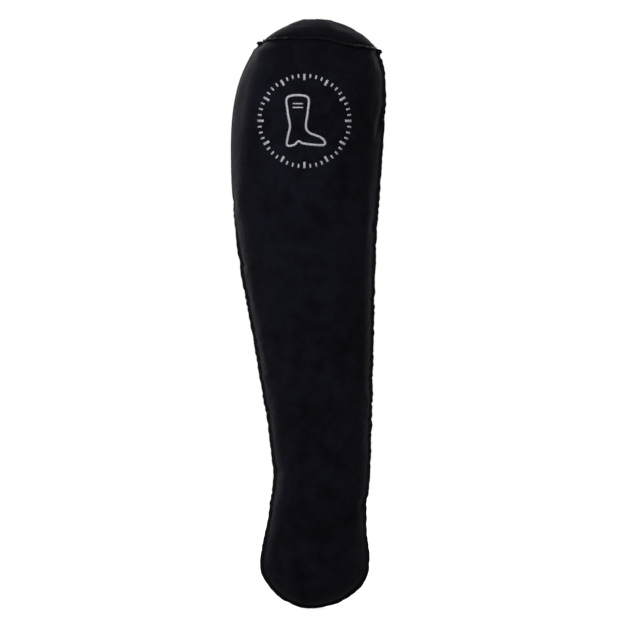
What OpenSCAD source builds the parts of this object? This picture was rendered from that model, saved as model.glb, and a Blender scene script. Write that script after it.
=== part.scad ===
// Inflatable boot shaper: two leg-shaped sheets of flocked PVC welded round the edge, a lens-shaped
// sheet that closes the top, and a push-in inflation valve in the crown.
// The printed sheet faces -Y, the calf side is -X, the shin side is +X and the open end of the boot is +Z.

/* [Leg] */
// Height of the leg's shoulder above the tip of the heel end, which all the other heights follow
leg_height = 400; // [320:5:480]

/* [Heel end] */
// Height of the widest part of the heel end, as a share of the leg's height
heel_share = 0.085; // [0.075:0.005:0.105]
// Reach of the heel end behind the centre line, to the weld
heel_back = 35; // [30:0.1:40]
// Reach of the heel end in front of the centre line, to the weld
heel_front = 43.6; // [38:0.1:48]
// Roundness of the heel end's back quarter: 2 is an ellipse and more is squarer
heel_back_round = 1.75; // [1.6:0.05:2.4]
// Roundness of the heel end's front quarter
heel_front_round = 1.95; // [1.6:0.05:2.4]
// Thickness of the heel end, front to rear
heel_depth = 58; // [46:1:68]

/* [Instep] */
// Height of the hollow above the heel end, as a share of the leg's height
instep_share = 0.17; // [0.15:0.005:0.19]
// Reach behind the centre line at the hollow
instep_back = 29.3; // [25:0.1:33]
// Reach in front of the centre line at the hollow
instep_front = 41.2; // [36:0.1:45]
// Thickness at the hollow
instep_depth = 56; // [46:1:66]

/* [Ankle] */
// Height of the ankle, the narrowest place, as a share of the leg's height
ankle_share = 0.27; // [0.24:0.005:0.31]
// Reach behind the centre line at the ankle
ankle_back = 25.4; // [22:0.1:30]
// Reach in front of the centre line at the ankle
ankle_front = 44.3; // [39:0.1:48]
// Thickness at the ankle
ankle_depth = 59; // [48:1:68]

/* [Shank] */
// Height of the middle of the leg, as a share of the leg's height
shank_share = 0.5125; // [0.45:0.0125:0.575]
// Reach behind the centre line at the middle of the leg
shank_back = 40; // [35:0.1:45]
// Reach in front of the centre line at the middle of the leg
shank_front = 46.8; // [42:0.1:51]
// Thickness at the middle of the leg
shank_depth = 76; // [62:1:85]

/* [Lower calf] */
// Height of the foot of the calf, as a share of the leg's height
lower_calf_share = 0.6875; // [0.6375:0.0125:0.7375]
// Reach behind the centre line at the foot of the calf
lower_calf_back = 52.2; // [47:0.1:57]
// Reach in front of the centre line at the foot of the calf
lower_calf_front = 48.6; // [44:0.1:53]
// Thickness at the foot of the calf
lower_calf_depth = 85; // [73:1:95]

/* [Calf] */
// Height of the widest part of the calf, as a share of the leg's height
calf_share = 0.88; // [0.84:0.005:0.91]
// Reach behind the centre line at the calf
calf_back = 57.1; // [51:0.1:62]
// Reach in front of the centre line at the calf
calf_front = 53.7; // [48:0.1:58]
// Thickness at the calf
calf_depth = 92; // [80:1:100]

/* [Shoulder] */
// Reach behind the centre line at the shoulder, where the back edge starts to turn in
shoulder_back = 51.7; // [47:0.1:56]
// Reach in front of the centre line at the shoulder
shoulder_front = 55.8; // [51:0.1:60]
// Thickness at the shoulder
shoulder_depth = 88; // [78:1:98]

/* [Mouth] */
// Height above the shoulder of the corner where the three sheets meet on the calf side
mouth_back_rise = 33.8; // [28:0.1:40]
// Height above the shoulder of the corner where the three sheets meet on the shin side
mouth_front_rise = 29.2; // [24:0.1:36]
// Reach of the calf side corner behind the centre line
mouth_back = 34.2; // [30:0.1:40]
// Reach of the shin side corner in front of the centre line
mouth_front = 50.5; // [45:0.1:55]
// Thickness between the two top welds
mouth_depth = 76; // [66:1:86]
// Rise of the top welds in the middle, above the line between the corners
mouth_arch = 4.6; // [3:0.1:8]
// Share by which that rise leans towards the calf side
mouth_lean = 0.8; // [0:0.1:0.9]
// Rise of the inflated crown above the line between the corners
crown_rise = 18.6; // [15:0.1:23]
// Fullness of the crown from front to rear: 1 is a parabola and 0.5 an ellipse
crown_fullness = 0.6; // [0.5:0.05:1]

/* [Sheets and welds] */
// Thickness of the flocked PVC sheet
sheet_t = 0.5; // [0.4:0.05:0.8]
// Width of the welded margin, which stands out as a fin
weld_w = 2.8; // [2:0.1:4]
// Height of the puckers of the margin, to each side of the weld's plane
pucker_h = 0.7; // [0.3:0.1:1.2]
// Distance from one pucker of the side welds to the next
pucker_pitch = 15; // [11:1:20]
// Distance from one pucker of the top welds to the next
top_pucker_pitch = 10; // [8:1:14]
// Depth of the small scallops in the margin's edge
scallop = 0.5; // [0:0.1:0.8]
// Angle of the top margins above the horizontal
fin_tilt = 40; // [25:1:55]
// Gap between the end of a top margin and the corner
corner_gap = 0.9; // [0.7:0.1:2]
// Extra reach of the margins at the two corners, which makes the ears
ear_reach = 1; // [0:0.1:2.4]
// Length of the weld over which an ear grows
ear_run = 5; // [4:0.5:12]

/* [Valve seat] */
// Place of the valve's axis in front of the centre line
valve_x = 6; // [3:0.5:9]
// Sink of the flat seat below the crown's own curve
seat_sink = 0.7; // [0.3:0.1:1.2]
// Radius of the flat seat round the valve
seat_r = 12.3; // [12:0.1:15]
// Width over which the crown runs down into the flat seat
seat_blend = 8; // [6:0.5:10]
// Radius of the weld ring under the sheet
ring_r = 11.6; // [11:0.1:12]
// Thickness of the weld ring
ring_t = 0.9; // [0.7:0.1:1.4]
// Thickness of the weld ring's bevelled rim
ring_rim_t = 0.3; // [0.2:0.1:0.6]
// Inner radius of the ring's lip, through which the stem pops up
throat_r = 8.5; // [8.3:0.1:9]
// Wall of the ring's lip
lip_t = 0.8; // [0.6:0.1:1.2]
// Bevel of the lip's upper outer edge
lip_bevel = 0.2; // [0.1:0.1:0.4]
// Gap between the lip and the edge of the hole in the sheet
hole_gap = 0.3; // [0.2:0.05:0.6]

/* [Valve stem] */
// Depth of the stem's foot below the top of the lip, when pushed in
stem_depth = 13.4; // [12.6:0.1:15]
// Radius of the bore that the air goes through
bore_r = 3; // [2.6:0.1:3.2]
// Wall of the stem
stem_wall = 1.1; // [0.9:0.1:1.2]
// Reach of the stem's foot beyond its wall
foot_reach = 1.4; // [1:0.1:1.8]
// Thickness of the stem's foot
foot_t = 0.8; // [0.6:0.1:1.2]
// Wall of the thin bellows that rolls in and out with the stem
bellows_t = 0.5; // [0.4:0.05:0.7]
// Radius of the bend at the bottom of the bellows
bellows_bend = 2; // [1.5:0.1:2.4]
// Depth of the stem's top below the top of the lip
stem_top_drop = 2.4; // [2.2:0.1:3]

/* [Stopper] */
// Radius of the stopper's head
head_r = 4.9; // [4.6:0.1:5.1]
// Thickness of the stopper's head
head_t = 1.6; // [1.2:0.1:1.8]
// Bevel of the head's upper edge
head_bevel = 0.4; // [0.2:0.1:0.6]
// Gap round the stopper's shank in the bore
shank_gap = 0.05; // [0.03:0.01:0.08]
// Length of the shank below the head
plug_length = 5.4; // [4.6:0.1:7.4]
// Bevel that leads the shank into the bore
plug_bevel = 0.9; // [0.5:0.1:1]
// Radius of the hollow in the end of the shank
plug_hollow_r = 1.6; // [1.2:0.1:1.8]
// Depth of the hollow in the end of the shank
plug_hollow = 3.6; // [2:0.1:4.4]
// Width of the strap that holds the stopper
strap_w = 3; // [2:0.1:3.6]
// Thickness of the strap
strap_t = 0.8; // [0.6:0.05:0.9]
// Radius of the strap's loop, to the outside
strap_loop_r = 2.7; // [2.4:0.05:2.7]
// Width of the finger tab on the head
tab_w = 3.4; // [2.6:0.1:4.4]
// Thickness of the finger tab
tab_t = 0.9; // [0.6:0.1:1.2]
// Reach of the finger tab from the valve's axis
tab_reach = 7.2; // [6:0.1:7.5]
// Reach of the small lugs that the strap is joined to, beyond the stopper's head
lug_reach = 0.2; // [0.15:0.05:0.3]

/* [Check flap] */
// Radius of the flap under the bore
flap_r = 3.8; // [3.6:0.05:4]
// Thickness of the flap
flap_t = 0.7; // [0.5:0.05:1]
// Width of the flap's living hinge
flap_hinge_w = 3; // [2:0.1:4]
// Distance from the flap's rim to its hinge line
flap_hinge_reach = 0.8; // [0.5:0.1:1.2]

/* [Hidden] */
flock = "#17161c";
weld = "#0d0d10";
clear_pvc = "#26262b";
// Rows of the rounded heel end, rows above it, and columns across a sheet
end_rows = 7;
leg_rows = 22;
rows = end_rows + leg_rows;
cols = 16;
// How much closer the rows stand towards the mouth
row_crowding = 1.25;
// Steps of a welded margin in each row or column
margin_steps = 4;
// Rings of the top sheet, from the valve's hole to the welds
rings = 6;
fine = 64;
// Swell of the puckers: its share of their height, and its length in puckers
swell = 0.35;
swell_run = 3.7;
// Length of a scallop, in puckers
scallop_run = 0.6;
// Gap between the bellows' floor and the stem's wall
stem_gap = 0.3;
tip_z = weld_w;
heel_z = leg_height * heel_share;
instep_z = leg_height * instep_share;
ankle_z = leg_height * ankle_share;
shank_z = leg_height * shank_share;
lower_calf_z = leg_height * lower_calf_share;
calf_z = leg_height * calf_share;
shoulder_z = leg_height;
mouth_back_z = shoulder_z + mouth_back_rise;
mouth_front_z = shoulder_z + mouth_front_rise;
mouth_mid = (mouth_front - mouth_back) / 2;
mouth_half = (mouth_front + mouth_back) / 2;
back_line = [
    [heel_z, heel_back], [instep_z, instep_back], [ankle_z, ankle_back], [shank_z, shank_back],
    [lower_calf_z, lower_calf_back], [calf_z, calf_back], [shoulder_z, shoulder_back],
    [mouth_back_z, mouth_back]
];
front_line = [
    [heel_z, heel_front], [instep_z, instep_front], [ankle_z, ankle_front], [shank_z, shank_front],
    [lower_calf_z, lower_calf_front], [calf_z, calf_front], [shoulder_z, shoulder_front],
    [mouth_front_z, mouth_front]
];
depth_line = [
    [heel_z, heel_depth / 2], [instep_z, instep_depth / 2], [ankle_z, ankle_depth / 2],
    [shank_z, shank_depth / 2], [lower_calf_z, lower_calf_depth / 2], [calf_z, calf_depth / 2],
    [shoulder_z, shoulder_depth / 2],
    [(mouth_back_z + mouth_front_z) / 2, mouth_depth / 2]
];

// Slope of a line of stations at station i: level at the heel, and free at the mouth
function station_slope(line, i) =
    let (n = len(line) - 1)
    i == 0 ? 0 :
    i < n ? (line[i + 1][1] - line[i - 1][1]) / (line[i + 1][0] - line[i - 1][0]) :
    2 * (line[n][1] - line[n - 1][1]) / (line[n][0] - line[n - 1][0]) - station_slope(line, n - 1);

// Value of a smooth curve through the stations at height z
function along(line, z, i = 0) =
    z > line[i + 1][0] && i < len(line) - 2 ? along(line, z, i + 1) :
    let (
        span = line[i + 1][0] - line[i][0],
        t = (z - line[i][0]) / span,
        rise = mix(line[i][1], line[i + 1][1], ramp(t)),
        lean_in = span * station_slope(line, i) * (t * t * t - 2 * t * t + t),
        lean_out = span * station_slope(line, i + 1) * (t * t * t - t * t)
    )
    rise + lean_in + lean_out;

function unit(v) = v / norm(v);
function mix(a, b, t) = a + (b - a) * t;
function ramp(t) = let (c = min(1, max(0, t))) c * c * (3 - 2 * c);

// The weld line's corner on one side in row j, from the tip of the heel end to the mouth
function edge_point(line, side, round, j) =
    j <= end_rows
    ? let (
        turn = 90 * j / end_rows,
        x = line[0][1] * pow(sin(turn), 2 / round),
        drop = (heel_z - tip_z) * pow(cos(turn), 2 / round)
    )
    [side * x, 0, heel_z - drop]
    : let (
        share = 1 - pow(1 - (j - end_rows) / leg_rows, row_crowding),
        z = mix(heel_z, line[len(line) - 1][0], share)
    )
    [side * along(line, z), 0, z];

// Half the thickness of the inflated leg in row j
function half_depth(j) =
    j <= end_rows
    ? depth_line[0][1] * sin(90 * j / end_rows)
    : along(depth_line, (back_edge[j][2] + front_edge[j][2]) / 2);

back_edge = [for (j = [0:rows]) edge_point(back_line, -1, heel_back_round, j)];
front_edge = [for (j = [0:rows]) edge_point(front_line, 1, heel_front_round, j)];

// Outward direction of the weld line in row j, in the plane of the two sheets
function edge_out(edge, other, side, j) =
    let (
        below = j == 0 ? other[1] : edge[j - 1],
        above = j == rows ? edge[j] : edge[j + 1],
        run = unit(above - below)
    )
    [side * run[2], 0, -side * run[0]];

back_out = [for (j = [0:rows]) edge_out(back_edge, front_edge, -1, j)];
front_out = [for (j = [0:rows]) edge_out(front_edge, back_edge, 1, j)];

// Point of a bulged row: share runs from -1 at the calf side to 1 at the shin side
function bulge(from, to, sag, share) =
    let (
        half = norm(to - from) / 2,
        spread = 2 * atan(sag / half),
        r = (half * half + sag * sag) / (2 * sag),
        turn = spread * share
    )
    (from + to) / 2 + unit(to - from) * r * sin(turn) - [0, r * (cos(turn) - cos(spread)), 0];

// Height of the line between the two corners of the mouth, of the top welds and of the crown
function mouth_line(x) = mix(mouth_back_z, mouth_front_z, (x + mouth_back) / (2 * mouth_half));
function weld_height(x) =
    let (s = (x - mouth_mid) / mouth_half)
    mouth_line(x) + mouth_arch * cos(90 * s) * (1 - mouth_lean * s);
crown_r = (mouth_half * mouth_half + crown_rise * crown_rise) / (2 * crown_rise);
function crown_height(x) =
    mouth_line(x) + sqrt(crown_r * crown_r - pow(x - mouth_mid, 2)) - (crown_r - crown_rise);

// Corner of the top weld in column k, and the way its fin points
function top_corner(k) =
    let (flat = bulge([-mouth_back, 0, 0], [mouth_front, 0, 0], mouth_depth / 2, 2 * k / cols - 1))
    [flat[0], k == 0 || k == cols ? 0 : flat[1], weld_height(flat[0])];
function top_run(k) =
    k == 0 ? [0, -1, 0] :
    k == cols ? [0, 1, 0] :
    unit(top_corner(k + 1) - top_corner(k - 1));
function fin_way(k) =
    let (
        swing = 90 * (2 * k / cols - 1),
        wish = [cos(fin_tilt) * sin(swing), -cos(fin_tilt) * cos(swing), sin(fin_tilt)],
        run = top_run(k)
    )
    unit(wish - run * (wish * run));
top_edge = [for (k = [0:cols]) top_corner(k)];
top_out = [for (k = [0:cols]) fin_way(k)];
top_under = [for (k = [0:cols]) cross(top_run(k), top_out[k])];

// Point of a side sheet in row j and column k, on its outside or on its inside
function sheet_point(j, k, inside) =
    let (
        share = 2 * k / cols - 1,
        from = back_edge[j] - (inside ? back_out[j] * sheet_t : [0, sheet_t, 0]),
        to = front_edge[j] - (inside ? front_out[j] * sheet_t : [0, sheet_t, 0]),
        lift = mouth_arch * cos(90 * share) * (1 - mouth_lean * share)
            * ramp((back_edge[j][2] - calf_z) / (mouth_back_z - calf_z))
    )
    bulge(from, to, half_depth(j) - sheet_t, share) + [0, 0, lift];

// The same in the top row, along the weld to the top sheet
function sheet_top(k, inside) =
    inside ? top_edge[k] - top_out[k] * sheet_t :
    k == 0 || k == cols ? top_edge[k] - [0, sheet_t, 0] :
    top_edge[k] + top_under[k] * sheet_t;

// Two triangles, without those that have no area
function quad(a, b, c, d) = [for (f = [[a, b, c], [a, c, d]]) if (f[0] != f[1] && f[0] != f[2]) f];
function join(lists) = [for (list = lists, item = list) item];

// One of the two leg-shaped sheets, its rim cut to meet the other sheets and the welded margins
module leg_sheet() {
    across = cols + 1;
    mids = 2 * rows * across;
    crest = mids + 2 * (rows - 1);
    tips = crest + across;
    function outer(j, k) = j == 0 ? tips : (j - 1) * across + k;
    function inner(j, k) = j == 0 ? tips + 2 : (rows + j - 1) * across + k;
    function calf_mid(j) = j == 0 ? tips + 1 : j == rows ? crest : mids + j - 1;
    function shin_mid(j) = j == 0 ? tips + 1 : j == rows ? crest + cols : mids + rows + j - 2;
    layers = [for (inside = [false, true]) join([
        [for (j = [1:rows - 1], k = [0:cols]) sheet_point(j, k, inside)],
        [for (k = [0:cols]) sheet_top(k, inside)]
    ])];
    tip = back_edge[0];
    points = join([
        layers[0], layers[1],
        [for (j = [1:rows - 1]) back_edge[j]], [for (j = [1:rows - 1]) front_edge[j]],
        top_edge, [tip - [0, sheet_t, 0], tip, tip + [0, 0, sheet_t]]
    ]);
    faces = join([
        for (j = [0:rows - 1], k = [0:cols - 1])
            quad(outer(j, k), outer(j + 1, k), outer(j + 1, k + 1), outer(j, k + 1)),
        for (j = [0:rows - 1], k = [0:cols - 1])
            quad(inner(j + 1, k + 1), inner(j + 1, k), inner(j, k), inner(j, k + 1)),
        for (j = [0:rows - 1])
            quad(calf_mid(j), calf_mid(j + 1), outer(j + 1, 0), outer(j, 0)),
        for (j = [0:rows - 1])
            quad(calf_mid(j + 1), calf_mid(j), inner(j, 0), inner(j + 1, 0)),
        for (j = [0:rows - 1])
            quad(outer(j, cols), outer(j + 1, cols), shin_mid(j + 1), shin_mid(j)),
        for (j = [0:rows - 1])
            quad(shin_mid(j), shin_mid(j + 1), inner(j + 1, cols), inner(j, cols)),
        for (k = [0:cols - 1])
            quad(outer(rows, k), crest + k, crest + k + 1, outer(rows, k + 1)),
        for (k = [0:cols - 1])
            quad(crest + k, inner(rows, k), inner(rows, k + 1), crest + k + 1)
    ]);
    color(flock) polyhedron(points, faces);
}

module front_sheet() {
    leg_sheet();
}

module rear_sheet() {
    mirror([0, 1, 0]) leg_sheet();
}

function flip(p) = [p[0], -p[1], p[2]];
// What stands at spoke k of the whole mouth, from a list along the front weld
function round_mouth(list, k) = k <= cols ? list[k] : flip(list[2 * cols - k]);
// Half the mouth's thickness at x
function mouth_reach(x) =
    let (
        sag = mouth_depth / 2,
        r = (mouth_half * mouth_half + sag * sag) / (2 * sag)
    )
    sqrt(max(0, r * r - pow(x - mouth_mid, 2))) - (r - sag);

valve_z = crown_height(valve_x) - seat_sink;
hole_r = throat_r + lip_t + hole_gap;

// Height of the top sheet: the crown, run into a flat seat round the valve
function top_height(x, y) =
    let (
        bow = pow(max(0, 1 - pow(y / max(0.01, mouth_reach(x)), 2)), crown_fullness),
        dome = mix(weld_height(x), crown_height(x), bow)
    )
    mix(valve_z, dome, ramp((norm([x - valve_x, y]) - seat_r) / seat_blend));

// Point of the top sheet on ring i and spoke k, short of the welds
function top_point(i, k) =
    let (
        end = round_mouth(top_edge, k),
        way = unit([end[0] - valve_x, end[1]]),
        start = [valve_x, 0] + way * (i == 0 ? hole_r : seat_r),
        spot = mix(start, [end[0], end[1]], max(0, i - 1) / (rings - 1))
    )
    [spot[0], spot[1], top_height(spot[0], spot[1])];

module top_sheet() {
    spokes = 2 * cols;
    upper_rim = [for (k = [0:cols]) top_edge[k] - top_under[k] * sheet_t];
    lower_rim = [for (k = [0:cols]) top_edge[k] - top_out[k] * sheet_t];
    under = spokes * (rings + 1);
    mids = 2 * under;
    function up(i, k) = i * spokes + k % spokes;
    function down(i, k) = under + i * spokes + k % spokes;
    function mid(k) = mids + k % spokes;
    points = join([
        [for (i = [0:rings - 1], k = [0:spokes - 1]) top_point(i, k)],
        [for (k = [0:spokes - 1]) round_mouth(upper_rim, k)],
        [for (i = [0:rings - 1], k = [0:spokes - 1]) top_point(i, k) - [0, 0, sheet_t]],
        [for (k = [0:spokes - 1]) round_mouth(lower_rim, k)],
        [for (k = [0:spokes - 1]) round_mouth(top_edge, k)]
    ]);
    faces = join([
        for (i = [0:rings - 1], k = [0:spokes - 1])
            quad(up(i, k), up(i, k + 1), up(i + 1, k + 1), up(i + 1, k)),
        for (i = [0:rings - 1], k = [0:spokes - 1])
            quad(down(i, k), down(i + 1, k), down(i + 1, k + 1), down(i, k + 1)),
        for (k = [0:spokes - 1])
            quad(down(0, k + 1), up(0, k + 1), up(0, k), down(0, k)),
        for (k = [0:spokes - 1])
            quad(mid(k), up(rings, k), up(rings, k + 1), mid(k + 1)),
        for (k = [0:spokes - 1])
            k < cols
            ? quad(mid(k), mid(k + 1), down(rings, k + 1), down(rings, k))
            : quad(mid(k + 1), down(rings, k + 1), down(rings, k), mid(k))
    ]);
    color(flock) polyhedron(points, faces);
}

// A welded margin: a thin fin through sections of four corners each
module fin(sections) {
    last = len(sections) - 1;
    function at(i, c) = 4 * i + c % 4;
    faces = join([
        [[0, 1, 2], [0, 2, 3]],
        for (i = [0:last - 1], c = [0:3])
            quad(at(i, c), at(i + 1, c), at(i + 1, c + 1), at(i, c + 1)),
        [[at(last, 3), at(last, 2), at(last, 1)], [at(last, 3), at(last, 1), at(last, 0)]]
    ]);
    color(weld) polyhedron(join(sections), faces);
}

// Sideways swing of a margin's edge at a distance along the weld, and its width there
function pucker(s, pitch) =
    pucker_h * sin(360 * s / pitch) * (1 - swell + swell * sin(360 * s / (swell_run * pitch)));
function margin_w(s, pitch, to_corner) =
    weld_w - scallop * pow(sin(180 * s / (scallop_run * pitch)), 2)
        + ear_reach * ramp(1 - to_corner / ear_run);

function run_to(edge, j) = j == 0 ? 0 : run_to(edge, j - 1) + norm(edge[j] - edge[j - 1]);

// Sections of a side margin, from the tip of the heel end to the corner of the mouth
function side_sections(edge, out, side) =
    let (whole = run_to(edge, rows), t = [0, sheet_t, 0])
    [
        for (m = [0:rows * margin_steps])
        let (
            j = min(rows - 1, floor(m / margin_steps)),
            f = m / margin_steps - j,
            root = mix(edge[j], edge[j + 1], f),
            s = run_to(edge, j) + f * norm(edge[j + 1] - edge[j]),
            reach = unit(mix(out[j], out[j + 1], f)) * margin_w(s, pucker_pitch, whole - s)
                + [0, pucker(s, pucker_pitch), 0]
        )
        side < 0
        ? [root - t, root + t, root + t + reach, root - t + reach]
        : [root + t, root - t, root - t + reach, root + t + reach]
    ];

// Sections of the margin between the front sheet and the top sheet, from corner to corner
function top_sections() =
    let (whole = run_to(top_edge, cols), last = cols * margin_steps)
    [
        for (m = [0:last])
        let (
            k = min(cols - 1, floor(m / margin_steps)),
            length = norm(top_edge[k + 1] - top_edge[k]),
            f = m == 0 ? corner_gap / length : m == last ? 1 - corner_gap / length : m / margin_steps - k,
            root = mix(top_edge[k], top_edge[k + 1], f),
            t = mix(top_under[k], top_under[k + 1], f) * sheet_t,
            s = run_to(top_edge, k) + f * length,
            reach = unit(mix(top_out[k], top_out[k + 1], f))
                * margin_w(s, top_pucker_pitch, min(s, whole - s))
                + t * pucker(s, top_pucker_pitch) / sheet_t
        )
        [root + t, root - t, root - t + reach, root + t + reach]
    ];

module calf_side_weld() {
    fin(side_sections(back_edge, back_out, -1));
}

module shin_side_weld() {
    fin(side_sections(front_edge, front_out, 1));
}

module front_top_weld() {
    fin(top_sections());
}

module rear_top_weld() {
    mirror([0, 1, 0]) fin(top_sections());
}

// Places the valve's pieces, whose own zero is on its axis at the top of the ring's lip
module at_valve() {
    translate([valve_x, 0, valve_z]) children();
}

stem_r = bore_r + stem_wall;
foot_top = foot_t - stem_depth;
head_top = head_t - stem_top_drop;
lug_r = head_r + lug_reach;
strap_z = head_top - (head_t - strap_t) / 2 - strap_loop_r;
flap_hinge_x = flap_r + flap_hinge_reach;

// Flat ring welded under the sheet, bevelled towards its rim, with a short lip up through the hole
module valve_ring() {
    top = -sheet_t;
    lip_r = throat_r + lip_t;
    color(clear_pvc) at_valve() rotate_extrude($fn = fine) polygon([
        [throat_r, top - ring_t], [ring_r - ring_t, top - ring_t], [ring_r, top - ring_rim_t],
        [ring_r, top], [lip_r, top], [lip_r, -lip_bevel], [lip_r - lip_bevel, 0], [throat_r, 0]
    ]);
}

// Thin wall that turns inside out as the stem goes up: a cup with the stem through its floor
module valve_bellows() {
    cup_r = throat_r - bellows_bend;
    cup_z = foot_top + bellows_bend;
    color(clear_pvc) at_valve() rotate_extrude($fn = fine) union() {
        translate([throat_r - bellows_t, cup_z]) square([bellows_t, -sheet_t - ring_t / 2 - cup_z]);
        intersection() {
            translate([cup_r, cup_z]) difference() {
                circle(bellows_bend, $fn = fine);
                circle(bellows_bend - bellows_t, $fn = fine);
            }
            translate([cup_r, foot_top]) square(bellows_bend);
        }
        translate([stem_r + stem_gap, foot_top]) square([cup_r - stem_r - stem_gap, bellows_t]);
    }
}

// Tube with a foot for the bellows and a lug for the strap
module valve_stem() {
    color(clear_pvc) at_valve() {
        rotate_extrude($fn = fine) polygon([
            [bore_r, -stem_depth], [stem_r + foot_reach, -stem_depth], [stem_r + foot_reach, foot_top],
            [stem_r, foot_top], [stem_r, -stem_top_drop], [bore_r, -stem_top_drop]
        ]);
        translate([stem_r - stem_wall / 2, -strap_w / 2, strap_z - strap_loop_r])
            cube([lug_r - stem_r + stem_wall / 2, strap_w, strap_t]);
    }
}

// Disc that the air inside holds shut against the foot, on a thin tongue
module check_flap() {
    color(clear_pvc) at_valve() translate([0, 0, -stem_depth - flap_t]) {
        cylinder(h = flap_t, r = flap_r, $fn = fine);
        translate([0, -flap_hinge_w / 2, 0]) cube([flap_hinge_x, flap_hinge_w, flap_t]);
    }
}

// Head with a finger tab and a lug for the strap, on a hollow shank with a bevelled end
module stopper() {
    shank_r = bore_r - shank_gap;
    end = -stem_top_drop - plug_length;
    color(clear_pvc) at_valve() {
        rotate_extrude($fn = fine) polygon([
            [0, head_top], [head_r - head_bevel, head_top], [head_r, head_top - head_bevel],
            [head_r, -stem_top_drop], [shank_r, -stem_top_drop], [shank_r, end + plug_bevel],
            [shank_r - plug_bevel, end], [plug_hollow_r, end], [plug_hollow_r, end + plug_hollow],
            [0, end + plug_hollow]
        ]);
        translate([0, 0, head_top - tab_t]) {
            translate([-tab_reach + tab_w / 2, 0, 0]) cylinder(h = tab_t, d = tab_w, $fn = fine);
            translate([-tab_reach + tab_w / 2, -tab_w / 2, 0]) cube([tab_reach - tab_w / 2, tab_w, tab_t]);
        }
        translate([0, -strap_w / 2, strap_z + strap_loop_r - strap_t]) cube([lug_r, strap_w, strap_t]);
    }
}

// Flat strap in a half loop from the stem's lug to the head's lug
module stopper_strap() {
    color(clear_pvc) at_valve() translate([lug_r, strap_w / 2, strap_z]) rotate([90, 0, 0])
        linear_extrude(strap_w) intersection() {
            difference() {
                circle(strap_loop_r, $fn = fine);
                circle(strap_loop_r - strap_t, $fn = fine);
            }
            translate([0, -strap_loop_r]) square([strap_loop_r, 2 * strap_loop_r]);
        }
}

front_sheet();
rear_sheet();
top_sheet();
calf_side_weld();
shin_side_weld();
front_top_weld();
rear_top_weld();
valve_ring();
valve_bellows();
valve_stem();
check_flap();
stopper();
stopper_strap();
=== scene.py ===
"""Inflatable boot shaper: a leg-shaped chamber of flocked PVC sheet, welded round the edge
and blown up tight, with a lens-shaped sheet across the top and a push-in valve in it.

The printed sheet faces -Y, the calf side is -X, the shin side is +X, and the open end of
the boot is +Z.
"""

import math

import bmesh
import bpy
import numpy as np
from bpy.props import (
    FloatProperty,
    FloatVectorProperty,
    IntProperty,
    PointerProperty,
)
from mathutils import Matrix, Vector
from mathutils.bvhtree import BVHTree
from mathutils.kdtree import KDTree


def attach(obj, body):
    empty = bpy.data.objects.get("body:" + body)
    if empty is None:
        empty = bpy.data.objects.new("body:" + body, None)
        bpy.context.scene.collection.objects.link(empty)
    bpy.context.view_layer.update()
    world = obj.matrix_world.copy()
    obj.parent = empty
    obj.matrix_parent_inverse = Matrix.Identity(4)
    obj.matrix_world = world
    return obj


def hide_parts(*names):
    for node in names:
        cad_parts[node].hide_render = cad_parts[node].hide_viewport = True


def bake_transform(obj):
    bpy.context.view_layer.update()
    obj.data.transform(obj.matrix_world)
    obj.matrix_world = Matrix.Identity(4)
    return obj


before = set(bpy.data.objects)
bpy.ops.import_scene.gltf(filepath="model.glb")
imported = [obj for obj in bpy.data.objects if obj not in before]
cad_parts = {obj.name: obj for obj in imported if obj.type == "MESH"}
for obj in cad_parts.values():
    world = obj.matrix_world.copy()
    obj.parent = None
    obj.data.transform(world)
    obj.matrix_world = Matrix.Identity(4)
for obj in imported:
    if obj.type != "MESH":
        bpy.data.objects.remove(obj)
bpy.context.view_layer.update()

bl_info = {
    "name": "Inflatable Boot Shaper",
    "version": (1, 0, 0),
    "blender": (4, 5, 0),
    "location": "3D View > Sidebar > Boot Shaper",
    "description": "Builds an inflatable boot shaper of flocked sheet with its valve",
    "category": "Object",
}

# What one operator leaves for the next: the sheets' grids of points, once the air is in.
made = {}


def linear(hex_colour):
    """A colour written as sRGB hex, in the linear values that Blender works in."""
    values = [int(hex_colour[i : i + 2], 16) / 255 for i in (1, 3, 5)]
    return tuple(
        v / 12.92 if v <= 0.04045 else ((v + 0.055) / 1.055) ** 2.4 for v in values
    )


def length(name, description, default):
    return FloatProperty(
        name=name, description=description, default=default, unit="LENGTH", min=0.0
    )


def number(name, description, default):
    return FloatProperty(name=name, description=description, default=default)


def angle(name, description, degrees):
    return FloatProperty(
        name=name,
        description=description,
        default=math.radians(degrees),
        subtype="ANGLE",
    )


def whole(name, description, default):
    return IntProperty(name=name, description=description, default=default)


def colour(name, description, hex_colour):
    return FloatVectorProperty(
        name=name,
        description=description,
        default=linear(hex_colour),
        size=3,
        subtype="COLOR",
        min=0.0,
        max=1.0,
    )


def stations(name, description, default):
    return FloatVectorProperty(
        name=name,
        description=description,
        default=default,
        size=len(default),
        unit="LENGTH",
    )


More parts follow.
